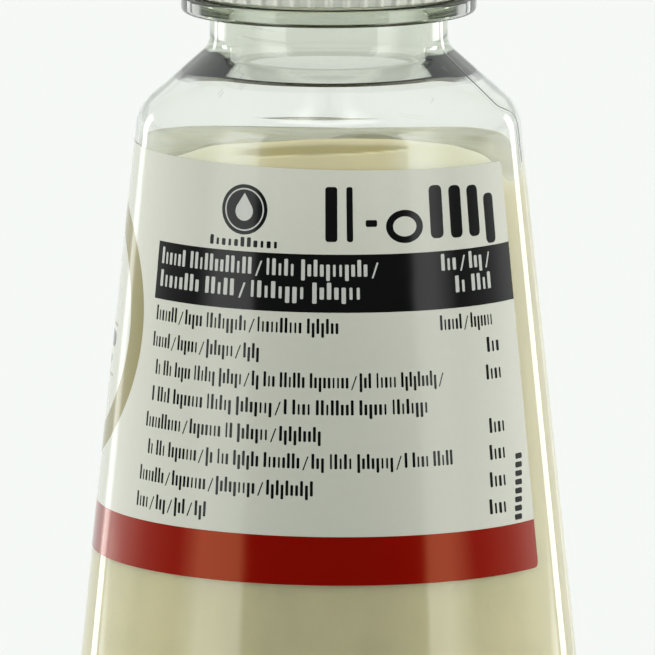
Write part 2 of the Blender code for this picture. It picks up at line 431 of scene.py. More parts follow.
# The mould seam: its azimuth, the window of columns that turn with it, its size, the columns
# across it in millimetres, the heights over which it starts and ends, and its azimuth by depth
SEAM = 75.0
SEAM_WINDOW = 25.0
SEAM_HEIGHT = 0.07
SEAM_WIDTH = 0.2
SEAM_OFFSETS = (-1.4, -0.9, -0.6, -0.4, -0.25, -0.12, 0, 0.12, 0.25, 0.4, 0.6, 0.9, 1.4)
SEAM_FOOT = (3, 9)
SEAM_TOP = (200.5, 198.5)
SEAM_PATH = ((0, 69.0), (15.6, 69.0), (16.6, 74.0), (17.6, 78.5), (60.0, 81.0), (206.0, 81.0))
BOTTLE_COLUMNS = 204


def seam_columns():
    """Azimuths round the bottle, close together at the two mould seams."""
    columns = [i * 360 / BOTTLE_COLUMNS - 180 for i in range(BOTTLE_COLUMNS)]
    for seam in (SEAM, SEAM - 180):
        near = [seam + math.degrees(offset / SHOULDER_RADIUS) for offset in SEAM_OFFSETS]
        columns = [c for c in columns if not near[0] - 0.5 < c < near[-1] + 0.5] + near
    return np.sort(np.array(columns))


def seam_shift(columns, depth):
    """How far each column turns, in degrees, so that the seam's columns follow its path."""
    depths, azimuths = zip(*SEAM_PATH)
    shift = np.interp(depth, depths, azimuths) - SEAM
    turn = np.zeros_like(shift)
    for seam in (SEAM, SEAM - 180):
        away = np.clip(np.abs(columns - seam) / SEAM_WINDOW, 0, 1)
        turn += np.cos(away * math.pi / 2) ** 2 * shift
    return turn


# The step in the shoulder, where the thick neck starts: outer radius, wall, rounding
WALL_STEP = ((27.0, 0.8, 3.0), (25.3, 0.92, 0.3), (24.9, 2.3, 0.4))


def bore_corners(shoulder, foot):
    """The inner side's corners in the neck, above the shoulder's thin wall."""
    along = (Vector(foot[:2]) - Vector(shoulder[:2])).normalized()
    inward = Vector((-abs(along.y), -abs(along.x)))
    outer = Vector(shoulder[:2]) - inward * WALL
    corners = []
    for radius, wall, rounding in WALL_STEP:
        place = outer + along * (outer.x - radius) / abs(along.x) + inward * wall
        corners.append((place.x, place.y, rounding))
    radius, height, _ = corners[-1]
    height += (radius - BORE_RADIUS) * math.tan(BORE_SLOPE)
    return corners + [(BORE_RADIUS, height, BORE_ROUNDING)]


# The step lies lower at the bottle's two sides: by how much, between which angles it falls, and
# over which radii and heights of the inner side that fades out
STEP_DROP = 0.75
STEP_TURN = (46, 80)
STEP_RADII = (28.8, 25.0)
STEP_HEIGHTS = (207, 202)
STEP_FOOT = 185
FLARE_RADIUS = 24.2
SHOULDER_RUN = (SHOULDER_RADIUS - NECK_RADIUS) / (BODY_CORNERS[-1][1] - SHOULDER_HEIGHT)


def lower_step(radius, height, azimuth):
    """The inner side's rows with the step slid down along the shoulder at the sides."""
    side = np.degrees(np.arcsin(np.abs(np.sin(np.radians(azimuth)))))
    drop = STEP_DROP * smooth(*STEP_TURN, side)
    drop = drop * smooth(*STEP_RADII, radius) * smooth(*STEP_HEIGHTS, height)
    drop = drop * (height > STEP_FOOT)
    flare = np.clip((radius - BORE_RADIUS) / (FLARE_RADIUS - BORE_RADIUS), 0, 1)
    return radius + drop * SHOULDER_RUN * flare, height - drop


def make_bottle():
    """The clear shell: outer side, mouth and inner side, with the seams and the neck's step."""
    corners = BODY_CORNERS + [(NECK_RADIUS, MOUTH_HEIGHT, 0)]
    *side, shoulder, foot, _ = inset(corners, WALL)
    bore = bore_corners(shoulder, foot)
    bore += [(bore[-1][0], MOUTH_HEIGHT, 0.3), (MOUTH_MIDDLE, MOUTH_HEIGHT, 0)]
    inner = rounded(side + [shoulder] + bore)
    outer = rounded(
        BODY_CORNERS
        + [
            (NECK_RADIUS, RING_UNDERSIDE, 0.4),
            (RING_RADIUS, RING_UNDERSIDE, 0.9),
            (RING_RADIUS, RING_TOP, 0.45),
            (FINISH_RADIUS, RING_TOP, 0.3),
            (FINISH_RADIUS, MOUTH_HEIGHT, 0.3),
            (MOUTH_MIDDLE, MOUTH_HEIGHT, 0),
        ],
        longest=3.0,
    )
    profile = np.concatenate([outer, inner[::-1][1:]])
    radius, height, azimuth = spread(profile, seam_columns())
    outside = np.arange(len(profile))[:, None] < len(outer)
    away = np.full_like(azimuth, 1e3)
    for seam in (SEAM, SEAM - 180):
        away = np.minimum(away, np.abs(np.radians(azimuth - seam)) * radius)
    body = outside * smooth(*SEAM_FOOT, height) * smooth(*SEAM_TOP, height)
    radius = radius + SEAM_HEIGHT * np.exp(-((away / SEAM_WIDTH) ** 2)) * body
    lower = lower_step(radius, height, azimuth)
    radius, height = np.where(outside, (radius, height), lower)
    azimuth = azimuth + seam_shift(azimuth, RING_UNDERSIDE - height)
    obj = turned("bottle_shell", radius, height, np.radians(azimuth))
    obj.data.materials.append(clear_plastic())
    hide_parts("bottle")
    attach(obj, "root")


# ---------------------------------------------------------------- mayonnaise

# How far the filling reaches into the wall, and the height up to which its rows are level
INTO_WALL = 0.15
LEVEL_ROWS_TOP = 150
FILL_COLUMNS = 360
FILL_TOP_ROWS = 60
# The depth of the mayonnaise's rim by azimuth
RIM_DEPTHS = (
    (-180, 23.95), (-152, 23.55), (-137, 23.25), (-112, 23.0), (-90, 23.4), (-78, 23.9),
    (-65, 24.5), (-53.7, 23.7), (-46.5, 22.4), (-40.7, 21.2), (-35.8, 20.4), (-21.9, 19.48),
    (-5.7, 18.6), (7, 18.52), (20.8, 18.9), (39.4, 20.54), (51.9, 22.87), (57, 24.6),
    (62, 27.6), (68, 29.0), (78, 28.0), (92, 25.5), (112, 23.6), (132, 23.3), (152, 23.7),
    (180, 23.95),
)
# The uneven top: its middle's depth, and the waves round it, as their number and their height
TOP_MIDDLE_DEPTH = 22.7
TOP_WAVES = ((1, 2.3), (2, 1.1), (3, 1.1))
# The share of the way from the level rows to the rim at which the rows move closer together
DENSE_FROM = 0.65
SPARSE_ROWS = 20
DENSE_ROWS = 48
# Painted shade on the top: shares of the radius over which its front and its right go dark, and
# how dark
FRONT_SHADE = (0.05, 0.5)
RIGHT_SHADE = (0.45, 0.62)
RIGHT_STRENGTH = 0.7
TOP_PAINTED_SHADE = 0.42


def rim_depth(azimuth):
    """The depth of the mayonnaise's rim, smoothed from the table."""
    degrees = (np.degrees(azimuth) + 180) % 360 - 180
    azimuths, depths = zip(*RIM_DEPTHS)
    turned_by = [(degrees + step + 180) % 360 - 180 for step in np.linspace(-3, 3, 5)]
    return np.mean([np.interp(turn, azimuths, depths) for turn in turned_by], axis=0)


# The painted shade of a hollow under the front of the rim: azimuth, its upper and its lower edge's
# depth
PAINTED_HOLLOW = (
    (-34, 21.2, 22.2), (-20.6, 20.2, 21.85), (-11, 19.6, 21.5), (0, 19.3, 21.25),
    (15, 19.5, 20.9), (21, 19.75, 20.75), (28, 20.3, 20.6),
)
# The degrees over which its left and right ends fade, and how softly it starts and stops
TROUGH_FADES = (14, 7)
TROUGH_SOFTNESS = 0.55
EDGE_SOFTNESS = 0.12
# The painted highlights, pale lines below it and along the rim: width and strength, and the rim
# line's depth and ends
EDGE_WIDTH = 0.15
EDGE_STRENGTH = 0.95
LIP_WIDTH = 0.25
LIP_STRENGTH = 0.7
LIP_DEPTH = 0.2
LIP_ENDS = (60, 50)


def painted_rim_shading(azimuth, depth):
    """Painted shade and highlights: 0.5 on plain mayonnaise, lower in the painted hollow under the
    rim and higher along its painted edge lines.
    """
    degrees = np.degrees(azimuth)
    azimuths, tops, bottoms = zip(*PAINTED_HOLLOW)
    top = np.interp(degrees, azimuths, tops)
    bottom = np.interp(degrees, azimuths, bottoms)
    rim = rim_depth(azimuth)
    left, right = TROUGH_FADES
    within = smooth(azimuths[0], azimuths[0] + left, degrees)
    within *= smooth(azimuths[-1], azimuths[-1] - right, degrees)
    painted_shade_mask = smooth(top - EDGE_SOFTNESS, top + TROUGH_SOFTNESS, depth)
    painted_shade_mask *= smooth(bottom + EDGE_SOFTNESS, bottom - EDGE_SOFTNESS, depth)
    edge_highlight = np.exp(-(((depth - bottom - EDGE_SOFTNESS) / EDGE_WIDTH) ** 2)) * EDGE_STRENGTH
    lip_highlight = np.exp(-(((depth - rim - LIP_DEPTH) / LIP_WIDTH) ** 2))
    lip_highlight = lip_highlight * smooth(*LIP_ENDS, np.abs(degrees)) * LIP_STRENGTH
    return 0.5 - 0.5 * painted_shade_mask * within + 0.5 * np.maximum(edge_highlight * within, lip_highlight)


def top_height(x, y):
    """The height of the uneven top, away from its rim."""
    lumps = noise.noise(Vector((x * 0.07, y * 0.11, 3.0))) * 1.6
    folds = noise.noise(Vector((x * 0.16 + y * 0.1, y * 0.3, 8.0))) * 0.9
    return lumps + folds


def top_waves(share, columns):
    """The waves round the top at this share of its radius."""
    return sum(lift * share**order * np.cos(order * columns) for order, lift in TOP_WAVES)


def make_mayonnaise():
    """The filling: it reaches just into the wall, up to an uneven top. Painted shade marks a hollow
    under the front of its rim, painted highlights run along that hollow's lower edge and the rim,
    and painted shade darkens the front and the right of its top.
    """
    columns = np.linspace(-math.pi, math.pi, FILL_COLUMNS, endpoint=False)
    *side, foot = inset(BODY_CORNERS, WALL - INTO_WALL)
    path = rounded(side + [(*foot[:2], 0)])
    low = path[: int(np.argmax(path[:, 1] > LEVEL_ROWS_TOP))]
    heights, radii = path[:, 1], path[:, 0]
    start = int(np.argmax(radii))
    radius, height, azimuth = spread(low, columns)
    rim = RING_UNDERSIDE - rim_depth(columns)
    upper = []
    sparse = np.linspace(0, DENSE_FROM, SPARSE_ROWS)[1:]
    dense = np.linspace(DENSE_FROM, 1, DENSE_ROWS)[1:]
    for share in np.concatenate([sparse, dense]):
        level = low[-1, 1] + share * (rim - low[-1, 1])
        upper.append((np.interp(level, heights[start:], radii[start:]), level))
    for level_radius, level in upper:
        radius = np.vstack([radius, level_radius[None]])
        height = np.vstack([height, level[None]])
    rim_radius = radius[-1]
    middle = RING_UNDERSIDE - TOP_MIDDLE_DEPTH
    to_rim = rim - (middle + top_waves(1.0, columns))
    for share in np.cos(np.linspace(0, math.pi / 2, FILL_TOP_ROWS))[1:]:
        ring = rim_radius * share
        x, y = ring * np.sin(columns), -ring * np.cos(columns)
        bumps = np.array([top_height(a, b) for a, b in zip(x, y)])
        level = middle + top_waves(share, columns) + to_rim * share**6 + bumps * (1 - share**4)
        radius = np.vstack([radius, ring[None]])
        height = np.vstack([height, level[None]])
    azimuth = np.repeat(columns[None], len(radius), axis=0)
    height[-1] = height[-1].mean()
    obj = turned("mayonnaise_fill", radius, height, azimuth, sharp=60)
    mesh = obj.data
    # Painted shade and painted highlights for each point: the hollow under the rim and its edges
    painted_shading_values = painted_rim_shading(azimuth[1:-1], RING_UNDERSIDE - height[1:-1])
    top_rows = len(low) + len(upper) - 1
    top_radius = radius[top_rows + 1 : -1]
    # Painted shade on the front and the right of the top
    near = top_radius * np.cos(columns) / BODY_RADIUS
    right = top_radius * np.sin(columns) / BODY_RADIUS
    painted_top_shade = np.maximum(smooth(*FRONT_SHADE, near), RIGHT_STRENGTH * smooth(*RIGHT_SHADE, right))
    painted_shading_values[top_rows:] = 0.5 - TOP_PAINTED_SHADE * painted_top_shade * smooth(0.995, 0.96, top_radius / rim_radius)
    attribute = mesh.attributes.new("painted_shading", "FLOAT", "POINT")
    attribute.data.foreach_set("value", np.concatenate([[0.5], painted_shading_values.ravel(), [0.5]]))
    # The side and the top are two copies of the cream that differ in painted glow and painted patch
    # shade, as well as in colour and gloss
    for made in (
        mayonnaise_cream("mayonnaise_side", 0.0, (0.885, 0.815, 0.548), 0.12, 0.13),
        mayonnaise_cream("mayonnaise_top", 0.25, (0.86, 0.825, 0.575), 0.25, 0.03),
    ):
        mesh.materials.append(made)
    for polygon in mesh.polygons:
        is_top = polygon.normal.z > 0.5 and polygon.center.z > LEVEL_ROWS_TOP * MM
        polygon.material_index = int(is_top)
    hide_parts("mayonnaise")
    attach(obj, "root")


# ---------------------------------------------------------------- cap

# The cap's main measures and the ribs', with the columns of the mesh in each rib's pitch
CAP_RADIUS = 24.9
CAP_BOTTOM = 209.4
CAP_TOP = 230.4
RIB_COUNT = 51
RIB_HEIGHT = 0.42
RIB_HALF_WIDTH = 0.55
RIB_COLUMNS = 12
RIB_TOP = 227.0
CAP_INSIDE_RADIUS = 23.1
CAP_INSIDE_TOP = 228.4
CAP_EDGE_MIDDLE = 24
CAP_DISH_RADIUS = 20.5
CAP_DISH_DEPTH = 0.5


def make_cap():
    """The closed cap with its upright ribs and the low rim round its top."""
    inner = rounded(
        [
            (0, CAP_INSIDE_TOP, 0),
            (CAP_INSIDE_RADIUS, CAP_INSIDE_TOP, 0.8),
            (CAP_INSIDE_RADIUS, CAP_BOTTOM, 0.2),
            (CAP_EDGE_MIDDLE, CAP_BOTTOM, 0),
        ]
    )
    outer = rounded(
        [
            (CAP_EDGE_MIDDLE, CAP_BOTTOM, 0),
            (CAP_RADIUS, CAP_BOTTOM, 0.35),
            (CAP_RADIUS, CAP_TOP, 2.2),
            (CAP_DISH_RADIUS + 0.5, CAP_TOP, 0.3),
            (CAP_DISH_RADIUS, CAP_TOP - CAP_DISH_DEPTH, 0.3),
            (0, CAP_TOP - CAP_DISH_DEPTH, 0),
        ],
        longest=1.3,
    )
    profile = np.concatenate([inner, outer[1:]])
    columns = np.linspace(-math.pi, math.pi, RIB_COUNT * RIB_COLUMNS, endpoint=False)
    radius, height, azimuth = spread(profile, columns)
    pitch = 2 * math.pi / RIB_COUNT
    across = ((columns + pitch / 2) % pitch - pitch / 2) * CAP_RADIUS
    rib = np.sqrt(np.clip(1 - (across / RIB_HALF_WIDTH) ** 2, 0, 1)) * RIB_HEIGHT
    skirt = (np.arange(len(profile)) > len(inner))[:, None]
    upright = skirt * smooth(CAP_RADIUS - 0.4, CAP_RADIUS - 0.05, radius)
    upright = upright * smooth(RIB_TOP + 0.5, RIB_TOP - 0.3, height)
    radius = radius + rib[None] * upright
    obj = turned("cap_shell", radius, height, azimuth, sharp=50)
    obj.data.materials.append(cap_plastic())
    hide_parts("cap")
    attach(obj, "root")


# ---------------------------------------------------------------- label

# The label's edges as azimuths and depths, its corners, and how far its two sides stand off
LABEL_LEFT = -251.1
LABEL_RIGHT = 60.9
LABEL_TOP = 23.83
LABEL_BOTTOM = 96.4
LABEL_CORNER = 0.9
LABEL_OUTSIDE = 0.07
LABEL_INSIDE = -0.03
# How much the top edge and the print slope, and millimetres per degree where shapes are cut
TOP_TILT = 0.015
PRINT_TILT = 0.010
PRINT_SCALE = 0.68
# How far shapes that are cut off at the label's edge reach past it, in degrees and as a depth
PAST_EDGE = 2
PAST_BOTTOM = 99
# The grid that keeps the print's faces small: the depths between which its columns run, and the
# start, the end and the step of its columns and rows
GRID_DEPTHS = (20, 99.5)
GRID_COLUMNS = (LABEL_LEFT + 1.5, LABEL_RIGHT, 2.0)
GRID_ROWS = (27.1, 96, 5.3)
WHITE, BLACK, RED, GOLD, PAPER = range(5)
# A line of strokes: the room for a slash and for a gap, how far some strokes stand up or reach
# down as shares of the line's height, and the widths of narrow and wide ones, as shares of a unit
SLASH = 0.6
GAP = 0.75
STROKE_UP = 0.4
STROKE_DOWN = 0.35
STROKE_NARROW = 0.42
STROKE_WIDE = 0.6
STROKE_CORNER = 0.12


def depth_radius(depth):
    """The cone's radius at a depth."""
    return cone_radius(RING_UNDERSIDE - depth)


class Print:
    """Flat shapes on the label, each a loop of (azimuth, depth) points with an ink."""

    def __init__(self):
        self.loops = []

    def loop(self, ink, points):
        self.loops.append((ink, points))

    def block(self, ink, left, right, top, bottom):
        """A plain block between two azimuths and two depths."""
        self.loop(ink, [(left, top), (right, top), (right, bottom), (left, bottom)])

    def around(self, ink, azimuth, depth, outline):
        """A loop from (across, down) points in millimetres round a centre."""
        points = []
        for across, down in outline:
            there = depth + down
            points.append((azimuth + math.degrees(across / depth_radius(there)), there))
        self.loop(ink, points)

    def disc(self, ink, azimuth, depth, wide, high=None, steps=40):
        turns = [2 * math.pi * i / steps for i in range(steps)]
        high = high or wide
        self.around(ink, azimuth, depth, [(wide * math.cos(t), high * math.sin(t)) for t in turns])

    def bar(self, ink, left, right, depth, thick, corner=None, lean=0.0, steps=3):
        """A bar with rounded ends between two azimuths; lean slides its top to the right."""
        middle = (left + right) / 2
        half = math.radians(right - left) / 2 * depth_radius(depth)
        corner = min(thick / 2, half) if corner is None else corner
        outline = []
        for side_x, side_y, start in ((1, 1, 0), (-1, 1, 90), (-1, -1, 180), (1, -1, 270)):
            for step in range(steps + 1):
                turn = math.radians(start + 90 * step / steps)
                x = side_x * (half - corner) + corner * math.cos(turn)
                y = side_y * (thick / 2 - corner) + corner * math.sin(turn)
                outline.append((x - lean * y, y))
        self.around(ink, middle, depth, outline)

    def words(self, ink, left, right, depth, high, pattern, solid=False):
        """A line of plain strokes that stands for text. A number in the pattern is a word of that
        many strokes, or one bar of that length, and a slash is a leaning stroke between words."""
        tokens = pattern.replace("/", " / ").split()
        total = sum(SLASH if token == "/" else float(token) for token in tokens)
        total += GAP * (len(tokens) - 1)
        unit = (right - left) / total
        place = left
        for number, token in enumerate(tokens):
            size = (SLASH if token == "/" else float(token)) * unit
            if token == "/":
                start, end = place + size * 0.25, place + size * 0.75
                self.bar(ink, start, end, depth, high * 1.3, corner=0.1, lean=0.35)
            elif solid:
                self.bar(ink, place, place + size, depth, high)
            else:
                for letter in range(int(token)):
                    self.stroke(ink, place + letter * unit, unit, depth, high, letter, number)
            place += size + GAP * unit

    def stroke(self, ink, left, unit, depth, high, letter, word):
        """One upright stroke; the first of a word and some others stand taller."""
        kind = (3 * letter + 5 * word + letter * letter) % 7
        up = STROKE_UP * high if letter == 0 or kind in (2, 5) else 0
        down = STROKE_DOWN * high if kind == 6 else 0
        width = unit * (STROKE_NARROW if kind in (1, 4) else STROKE_WIDE)
        start = left + (unit - width) / 2
        middle = depth + (down - up) / 2
        high = high + up + down
        self.bar(ink, start, start + width, middle, high, STROKE_CORNER, steps=1)


# The table's lines and the values at its right: depth, left and right azimuth, pattern of words
TABLE_ROWS = (
    (51.5, -54.0, 2.8, "7/5 10/10 7"),
    (56.2, -54.5, -18.5, "6/6/7/4"),
    (61.0, -52.4, 31.0, "2 3 5 6 6/2 3 6 9/3 5 9/"),
    (65.7, -53.0, 26.5, "1 4 8 6 8/1 4 8 6 8"),
    (70.4, -54.6, -1.8, "11/8 2 7/9"),
    (75.1, -52.9, 33.0, "2 3 8/2 3 6 8/3 5 8/1 4 5"),
    (79.9, -55.4, -3.7, "8/9/9/10"),
    (84.6, -55.8, -31.5, "4/3/3/3"),
)
VALUES = (
    (51.5, 31.0, 50.0, "6/7"),
    (56.2, 46.5, 52.0, "3"),
    (61.0, 45.5, 52.0, "4"),
    (70.4, 45.2, 51.6, "4"),
    (75.1, 44.6, 51.0, "4"),
    (79.9, 44.0, 50.4, "4"),
    (84.6, 43.2, 49.8, "4"),
)


def print_table(art):
    """The side that faces the front: header, table rows, values, quantity bars and badge."""
    art.block(BLACK, -55.3, LABEL_RIGHT + PAST_EDGE, 38.6, 48.75)
    art.words(PAPER, -53.7, 13.3, 41.4, 2.1, "6 12/5 11/")
    art.words(PAPER, -53.7, 9.0, 45.4, 2.1, "8 5/8 7")
    art.words(PAPER, 32.3, 50.3, 41.0, 2.1, "3/3/")
    art.words(PAPER, 36.6, 50.8, 45.0, 2.1, "2 4")
    for depth, left, right, pattern in TABLE_ROWS + VALUES:
        art.words(BLACK, left, right, depth, 1.9, pattern)
    for index in range(8):
        share = index / 7
        azimuth = 56.3 - 2.3 * share
        art.bar(BLACK, azimuth - 1.5, azimuth + 1.5, 76.2 + 10.6 * share, 1.0, 0.3)
    art.bar(BLACK, -1.0, 2.4, 31.6, 9.6, 0.5)
    art.bar(BLACK, 5.0, 6.8, 31.6, 9.6, 0.4)
    art.bar(BLACK, 10.4, 13.7, 33.2, 1.2, 0.3)
    ring = (21.85, 33.9)
    art.disc(BLACK, *ring, 3.5, 2.9)
    art.disc(WHITE, *ring, 2.2, 1.75)
    for index, (top, bottom) in enumerate(((27.0, 36.3), (27.3, 36.5), (27.6, 36.6), (29.4, 38.2))):
        left = 29.8 + 6.75 * index
        art.bar(BLACK, left, left + 4.3, (top + bottom) / 2, bottom - top, 0.9)
    badge = (-24.7, 31.3)
    art.disc(BLACK, *badge, 4.4, steps=56)
    art.disc(PAPER, *badge, 3.75, steps=48)
    art.disc(BLACK, *badge, 3.5, steps=48)
    drop(art, PAPER, badge[0], 31.6, 1.7)
    art.words(BLACK, -35.6, -14.0, 37.2, 1.2, "11")


def drop(art, ink, azimuth, depth, size):
    """A drop: a round foot that tapers to a point above it."""
    outline = [(0, -1.9 * size)]
    for step in range(13):
        turn = math.radians(-30 + 240 * step / 12)
        outline.append((size * math.cos(turn), size * math.sin(turn)))
    art.around(ink, azimuth, depth, outline)


def print_face(art):
    """The main face: a gold ring round a plain emblem."""
    centre, level = -95.0, 56.7
    art.disc(GOLD, centre, level, 23.4, steps=120)
    art.disc(WHITE, centre, level, 18.2, steps=100)
    drop(art, GOLD, centre, 48.5, 4.2)
    art.bar(GOLD, centre - 15, centre + 15, 56.0, 0.5, 0.2)
    art.words(BLACK, centre - 15, centre + 15, 58.6, 2.8, "9", solid=True)
    art.words(BLACK, centre - 11, centre + 11, 62.4, 1.6, "6 5", solid=True)
    art.bar(GOLD, centre - 15, centre + 15, 64.9, 0.5, 0.2)
    art.words(BLACK, centre - 9, centre + 9, 67.4, 1.1, "5 8", solid=True)


def print_back(art):
    """The back: paragraphs of small word bars in two columns."""
    for column, (left, right) in enumerate(((-245.0, -205.0), (-198.0, -150.0))):
        for row in range(15):
            depth = 30.0 + 3.6 * row
            spread_out = [4 + (5 * row + 3 * k + 2 * column) % 7 for k in range(6)]
            stop = right - ((row * 7 + column * 3) % 5) * 1.6
            art.words(BLACK, left, stop, depth, 1.2, " ".join(map(str, spread_out)), solid=True)


def label_point(azimuth, depth, outward):
    """The place of a label point, in millimetres, this far outside the cone."""
    turn = math.radians(azimuth)
    height = RING_UNDERSIDE - depth
    height -= PRINT_TILT * cone_radius(height) * math.sin(turn)
    radius = cone_radius(height) + outward
    return radius * math.sin(turn), -radius * math.cos(turn), height


def rounded_corner(azimuth, across, depth, down, turns):
    """Points of a quarter round whose centre and reach are an azimuth and a depth."""
    points = []
    for turn in turns:
        t = math.radians(turn)
        points.append((azimuth + across * math.cos(t), depth + down * math.sin(t)))
    return points


def label_outline():
    """The label's edge as a loop of (azimuth, depth) points."""
    corner = LABEL_CORNER
    reach = math.degrees(corner / 40)
    left, right = LABEL_LEFT + reach, LABEL_RIGHT - reach
    azimuths = np.linspace(left, right, 125)
    top = [
        (a, LABEL_TOP + TOP_TILT * depth_radius(LABEL_TOP) * math.sin(math.radians(a)))
        for a in azimuths
    ]
    loop = list(top)
    loop += rounded_corner(right, reach, top[-1][1] + corner, -corner, (60, 30, 0))
    loop += rounded_corner(right, reach, LABEL_BOTTOM - corner, corner, (0, 30, 60))
    loop += [(a, LABEL_BOTTOM) for a in azimuths[::-1]]
    loop += rounded_corner(left, -reach, LABEL_BOTTOM - corner, corner, (60, 30, 0))
    loop += rounded_corner(left, -reach, top[0][1] + corner, -corner, (0, 30, 60))
    return loop


def print_shapes():
    """The label and all that is printed on it, the later shapes over the earlier ones."""
    art = Print()
    art.loop(WHITE, label_outline())
    art.block(RED, LABEL_LEFT - PAST_EDGE, LABEL_RIGHT + PAST_EDGE, 87.9, PAST_BOTTOM)
    print_face(art)
    print_back(art)
    print_table(art)
    return art.loops


def cut_print(shapes):
    """Flat points, the faces that lie on the label and the ink of each, cut along every shape
    and along a grid that keeps the faces small."""
    flat, edges, loops = [], [], []
    for _, points in shapes:
        first = len(flat)
        flat += [Vector((azimuth * PRINT_SCALE, depth)) for azimuth, depth in points]
        loops.append(list(range(first, len(flat))))
    top, bottom = GRID_DEPTHS
    left, right = LABEL_LEFT - PAST_EDGE, LABEL_RIGHT + PAST_EDGE
    lines = [((azimuth, top), (azimuth, bottom)) for azimuth in np.arange(*GRID_COLUMNS)]
    lines += [((left, depth), (right, depth)) for depth in np.arange(*GRID_ROWS)]
    for ends in lines:
        edges.append((len(flat), len(flat) + 1))
        flat += [Vector((azimuth * PRINT_SCALE, depth)) for azimuth, depth in ends]
    points, _, faces, _, _, parents = delaunay_2d_cdt(flat, edges, loops, 0, 1e-5)
    kept, inks = [], []
    for face, owners in zip(faces, parents):
        if 0 in owners:
            kept.append(face[::-1])
            inks.append(shapes[max(owners)][0])
    used = sorted({index for face in kept for index in face})
    place = {index: number for number, index in enumerate(used)}
    points = [(points[index].x / PRINT_SCALE, points[index].y) for index in used]
    return points, [[place[index] for index in face] for face in kept], inks


def open_edges(faces):
    """The edges that only one face has, in the order in which they were met."""
    border = {}
    for face in faces:
        for start, end in zip(face, face[1:] + face[:1]):
            if (end, start) in border:
                del border[(end, start)]
            else:
                border[(start, end)] = True
    return list(border)


def film_normals(mesh, count):
    """Normals of the cone for the first count faces, the opposite for the next count, and each
    face's own for the rest."""
    lean = math.sin(CONE_LEAN)
    level = math.sqrt(1 - lean * lean)
    normals = []
    for number, polygon in enumerate(mesh.polygons):
        for vertex in polygon.vertices:
            x, y, _ = mesh.vertices[vertex].co
            size = math.hypot(x, y)
            normal = Vector((x / size * level, y / size * level, lean))
            if number >= 2 * count:
                normal = polygon.normal
            elif number >= count:
                normal = -normal
            normals.append(normal)
    return normals


def make_label():
    """The film round the body as one thin closed mesh, with an ink for each printed shape."""
    flat, front, inks = cut_print(print_shapes())
    points = [label_point(*point, LABEL_OUTSIDE) for point in flat]
    points += [label_point(*point, LABEL_INSIDE) for point in flat]
    count = len(flat)
    faces = [tuple(face) for face in front]
    faces += [tuple(index + count for index in face[::-1]) for face in front]
    faces += [(end, start, start + count, end + count) for start, end in open_edges(front)]
    mesh = bpy.data.meshes.new("label_film")
    mesh.from_pydata((np.array(points) * MM).tolist(), [], faces)
    inks += [WHITE] * (len(faces) - len(front))
    mesh.polygons.foreach_set("material_index", np.array(inks, np.int32))
    obj = link(bpy.data.objects.new("label_film", mesh))
    normals = film_normals(mesh, len(front))
    mesh.shade_smooth()
    mesh.normals_split_custom_set(normals)
    for made in (
        film("film_white", (0.69, 0.692, 0.608)),
        film("film_black", (0.004, 0.004, 0.004)),
        film("film_red", (0.28, 0.001, 0.0002), specular=0.7, tint=(1.0, 0.4, 0.17)),
        film("film_gold", (0.30, 0.265, 0.105)),
        film("film_paper", (0.62, 0.62, 0.585)),
    ):
        mesh.materials.append(made)
    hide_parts("label")
    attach(obj, "root")


# ---------------------------------------------------------------- studio

# Each light of the studio as its brightness by azimuth and by elevation, in degrees
SOFTBOXES = (
    (
        (-180, 0), (-78, 0), (-71, 1.0), (-65, 2.3), (-43, 2.3), (-41, 0),
        (47, 0), (49, 2.4), (60, 2.4), (68, 1.2), (75, 0), (180, 0),
    ),
    ((-90, 1), (35, 1), (39, 0), (90, 0)),
)
SIDES = (
    (
        (-180, 0.92), (-152, 0.92), (-131, 1.2), (-112, 1.0), (-100, 0.55), (-80, 0.25),
        (-44, 0.03), (0, 0.02), (47, 0.03), (80, 0.25), (100, 0.65), (112, 1.1),
        (131, 1.2), (152, 0.92), (180, 0.92),
    ),
    ((-90, 1), (0, 1), (8, 0), (90, 0)),
)
RIM_LIGHTS = (
    (
        (-180, 0), (-145.6, 0), (-145, 3.4), (-142.8, 3.4), (-142, 1.2), (-141, 3),
        (-138.6, 3), (-138, 0), (138, 0), (138.6, 3), (141, 3), (142, 1.2),
        (142.8, 3.4), (145, 3.4), (145.6, 0), (180, 0),
    ),
    ((-90, 1), (8, 1), (14, 0), (90, 0)),
)
NECK_LIGHTS = (
    (
        (-180, 0), (-136, 0), (-134, 3), (-123, 3), (-118, 0),
        (118, 0), (123, 3), (134, 3), (136, 0), (180, 0),
    ),
    ((-90, 1), (-6, 1), (-5.2, 0), (90, 0)),
)
ROOM = (
    (
        (-180, 0.9), (-108, 0.9), (-62, 0.6), (-45, 0.3),
        (45, 0.3), (62, 0.6), (108, 0.9), (180, 0.9),
    ),
    ((-90, 0), (2, 0), (10, 1), (90, 1)),
)
# Large dim lights that only matt surfaces show
FLANKS = (
    (
        (-180, 0), (-112, 0), (-98, 2.5), (-74, 2.5), (-58, 0),
        (58, 0), (74, 3.1), (98, 3.1), (112, 0), (180, 0),
    ),
    ((-90, 0), (0, 0), (8, 1), (60, 1), (75, 0), (90, 0)),
)
OVERHEAD = (
    ((-180, 0), (-95, 0), (-80, 1), (80, 1), (95, 0), (180, 0)),
    ((-90, 0), (70, 0), (74, 1.5), (82, 1.5), (86, 0), (90, 0)),
)
STUDIO = (SOFTBOXES, SIDES, RIM_LIGHTS, NECK_LIGHTS, ROOM, FLANKS, OVERHEAD)
LIGHT_COLOR = (0.985, 1.0, 0.98, 1)
# Ramps hold values from 0 to 1, so the brightness in each table is divided by this
LIGHT_SCALE = 5.0
# The faint light that comes from everywhere
AMBIENT = (0.050, 0.066, 0.056)
